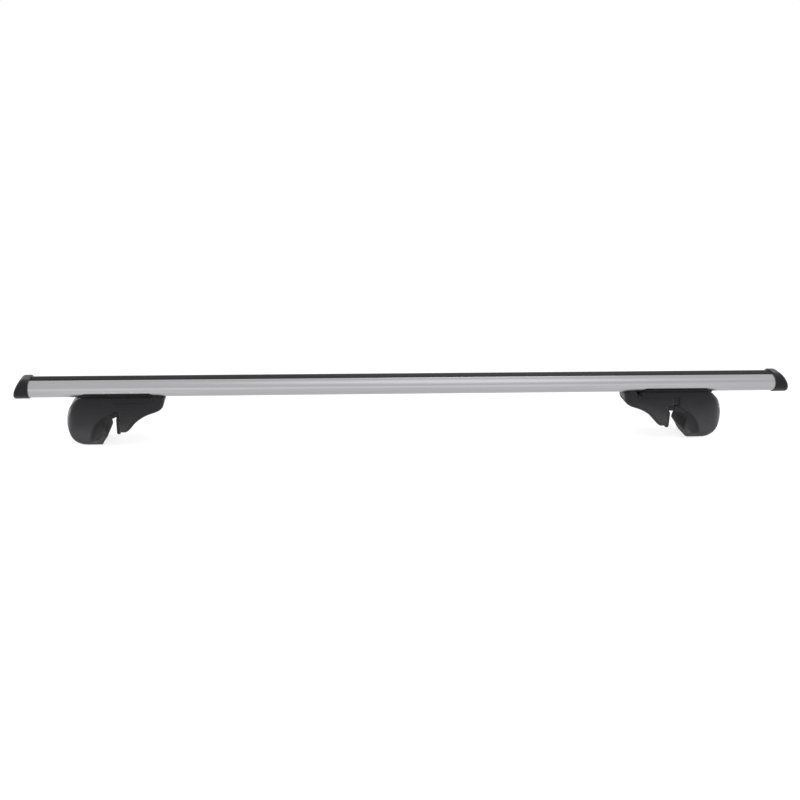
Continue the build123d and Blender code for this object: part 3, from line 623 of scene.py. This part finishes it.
def screw_mesh():
    """Socket screw along +x from its tip: a turned thread, a knurled head and a six-sided socket."""
    seg, per = 48, 6
    tip, seat = HEAD_SEAT + WASHER_T + 0.05 - SCREW_LEN, HEAD_SEAT + WASHER_T + 0.05
    th = np.linspace(0, 2 * math.pi, seg, endpoint=False)
    rings = []
    thread_end = tip + 40.0
    xs = np.arange(tip, thread_end, 1.0 / per)
    for x in xs:
        ph = (x - th / (2 * math.pi)) % 1.0
        depth = 0.55 * (1 - np.abs(2 * ph - 1)) ** 0.8
        edge = min(1.0, (x - tip) / 0.8 + 0.35)
        out = min(1.0, (thread_end - x) / 1.5)
        rings.append((x, (SCREW_D / 2 - depth * out) * (0.82 + 0.18 * edge)))
    rings.append((thread_end + 0.5, np.full(seg, SCREW_D / 2)))
    rings.append((seat - 0.4, np.full(seg, SCREW_D / 2)))
    rings.append((seat, np.full(seg, SCREW_D / 2 + 0.3)))
    rings.append((seat + 0.001, np.full(seg, HEAD_D / 2 - 0.35)))
    knurl = HEAD_D / 2 - 0.12 * (np.arange(seg) % 2)
    rings.append((seat + 0.35, knurl))
    rings.append((seat + HEAD_T - 0.7, knurl))
    rings.append((seat + HEAD_T - 0.25, np.full(seg, HEAD_D / 2 - 0.4)))
    rings.append((seat + HEAD_T, np.full(seg, HEAD_D / 2 - 0.75)))
    hexr = 2.5 / np.cos((th % (math.pi / 3)) - math.pi / 6)
    rings.append((seat + HEAD_T, hexr + 0.2))
    rings.append((seat + HEAD_T - 0.25, hexr))
    rings.append((seat + HEAD_T - 3.2, hexr))
    v, f = [], []
    for x, r in rings:
        v += [(x, r[i] * math.cos(th[i]), SCREW_Z + r[i] * math.sin(th[i])) for i in range(seg)]
    for k in range(len(rings) - 1):
        for i in range(seg):
            j = (i + 1) % seg
            f.append((k * seg + i, k * seg + j, (k + 1) * seg + j, (k + 1) * seg + i))
    v += [(tip, 0, SCREW_Z), (seat + HEAD_T - 3.9, 0, SCREW_Z)]
    last = (len(rings) - 1) * seg
    for i in range(seg):
        j = (i + 1) % seg
        f.append((j, i, len(v) - 2))
        f.append((last + i, last + j, len(v) - 1))
    return np.array(v, float), f, None


shapes = {"foot": foot_mesh(), "hook_pad": hook_pad_mesh(), "jaw": jaw_mesh(), "jaw_pad": jaw_pad_mesh(), "clamp_screw": screw_mesh()}
names = {"foot": ("clamp_foot", "foot", "black_plastic", PLASTIC, None), "hook_pad": ("hook_lining", "foot", "rubber", RUBBER, None),
         "jaw": ("clamp_jaw", "jaw", "black_plastic", PLASTIC, None), "jaw_pad": ("jaw_lining", "jaw", "rubber", RUBBER, None),
         "clamp_screw": ("socket_screw", "screw", "steel", STEEL, 40)}
for name in ("left", "right"):
    for kind, (v, f, n) in shapes.items():
        label, body, slot, mat, sharp = names[kind]
        x0 = JAW_X[name] if body == "jaw" else FOOT_X[name]
        n = None if n is None else n * (SIDE[name], 1, 1)
        o = make_object(label + "_" + name, to_row(v, SIDE[name], x0), f, n, sharp)
        settle(o, body + "_" + name, kind + "_" + name, mat)

# ------------------------------------------------------------------ pieces shown as they were made
for n, o in nodes.items():
    mat = RUBBER if n.startswith("saddle") else STEEL if n.startswith(("clamp_washer", "clamp_nut", "slide_key", "key_screws")) else None
    if mat is not None:
        o.data.materials.clear()
        o.data.materials.append(mat)

# ------------------------------------------------------------------ floor, light, camera
mesh = bpy.data.meshes.new("floor")
mesh.from_pydata([(-15, -15, 0), (15, -15, 0), (15, 15, 0), (-15, 15, 0)], [], [(0, 1, 2, 3)])
floor = bpy.data.objects.new("floor", mesh)
scene.collection.objects.link(floor)
fm, ft, fp = new_material("pale_floor")
t_noise = noise(ft, coords(ft, (1.0, 1.0, 1.0)), 2.0, 2.0)
ft.links.new(ramp(ft, t_noise, [(0.3, (0.29, 0.29, 0.29)), (0.7, (0.31, 0.31, 0.31))]), fp.inputs["Base Color"])
fp.inputs["Roughness"].default_value = 0.95
fp.inputs["Emission Color"].default_value = (1.0, 1.0, 1.0, 1.0)
fp.inputs["Emission Strength"].default_value = 0.78
fp.inputs["Specular IOR Level"].default_value = 0.1
floor.data.materials.append(fm)

world = bpy.data.worlds.new("studio")
scene.world = world
world.use_nodes = True
bg = world.node_tree.nodes["Background"]
bg.inputs["Color"].default_value = (1.0, 1.0, 1.0, 1.0)
bg.inputs["Strength"].default_value = 1.0


def area(name, loc, target, size, power, spread=180.0):
    light = bpy.data.lights.new(name, "AREA")
    light.shape = "RECTANGLE"
    light.size, light.size_y = size
    light.energy = power
    light.spread = math.radians(spread)
    o = bpy.data.objects.new(name, light)
    o.location = loc
    o.rotation_euler = (Vector(target) - Vector(loc)).to_track_quat("-Z", "Y").to_euler()
    scene.collection.objects.link(o)
    return o


area("top_softbox", (0.3, -0.25, 1.5), (0.1, 0, 0.09), (1.0, 1.2), 3.4)
area("front_softbox", (0.0, -2.6, 0.55), (0, 0, 0.09), (3.0, 0.9), 6.0)
# gridded strips close to the floor, before and beside each foot
for name in ("left", "right"):
    mid, end = (FOOT_X[name] - SIDE[name] * 21) / 1000, (FOOT_X[name] + SIDE[name] * 190) / 1000
    area("low_strip_" + name, (mid, -0.16, 0.005), (mid, 0, 0.0), (0.2, 0.008), 0.055, 34.0)
    area("lift_strip_" + name, (mid, -0.16, 0.005), (mid, -0.03, 0.038), (0.2, 0.008), {"left": 0.005, "right": 0.013}[name], 28.0)
    area("side_strip_" + name, (end, -0.02, 0.04), (mid, -0.02, 0.04), (0.1, 0.04), 0.065, 44.0)
area("back_softbox", (0.63, 2.4, 1.3), (0.1, 0, 0.09), (0.9, 0.9), 8.0)

CAM = (-188.4, -1539.82, 631.57)
YAW, PITCH, ROLL, FOCAL = math.radians(4.6774), math.radians(20.25), math.radians(1.0185), 1050.0
SHIFT = (-30.0, 0.0)
fwd = Vector((math.sin(YAW) * math.cos(PITCH), math.cos(YAW) * math.cos(PITCH), -math.sin(PITCH)))
right = Vector((math.cos(YAW), -math.sin(YAW), 0.0))
up = right.cross(fwd)
r2 = math.cos(ROLL) * right + math.sin(ROLL) * up
u2 = -math.sin(ROLL) * right + math.cos(ROLL) * up
cam_data = bpy.data.cameras.new("camera")
cam_data.sensor_width = 36.0
cam_data.lens = FOCAL * 36.0 / 800.0
cam_data.shift_x, cam_data.shift_y = -SHIFT[0] / 800.0, SHIFT[1] / 800.0
cam_data.clip_start, cam_data.clip_end = 0.05, 60.0
cam = bpy.data.objects.new("camera", cam_data)
cam.matrix_world = Matrix(((r2.x, u2.x, -fwd.x, CAM[0] / 1000), (r2.y, u2.y, -fwd.y, CAM[1] / 1000),
                           (r2.z, u2.z, -fwd.z, CAM[2] / 1000), (0, 0, 0, 1)))
scene.collection.objects.link(cam)
scene.camera = cam
scene.view_settings.view_transform = "Standard"
scene.view_settings.look = "None"
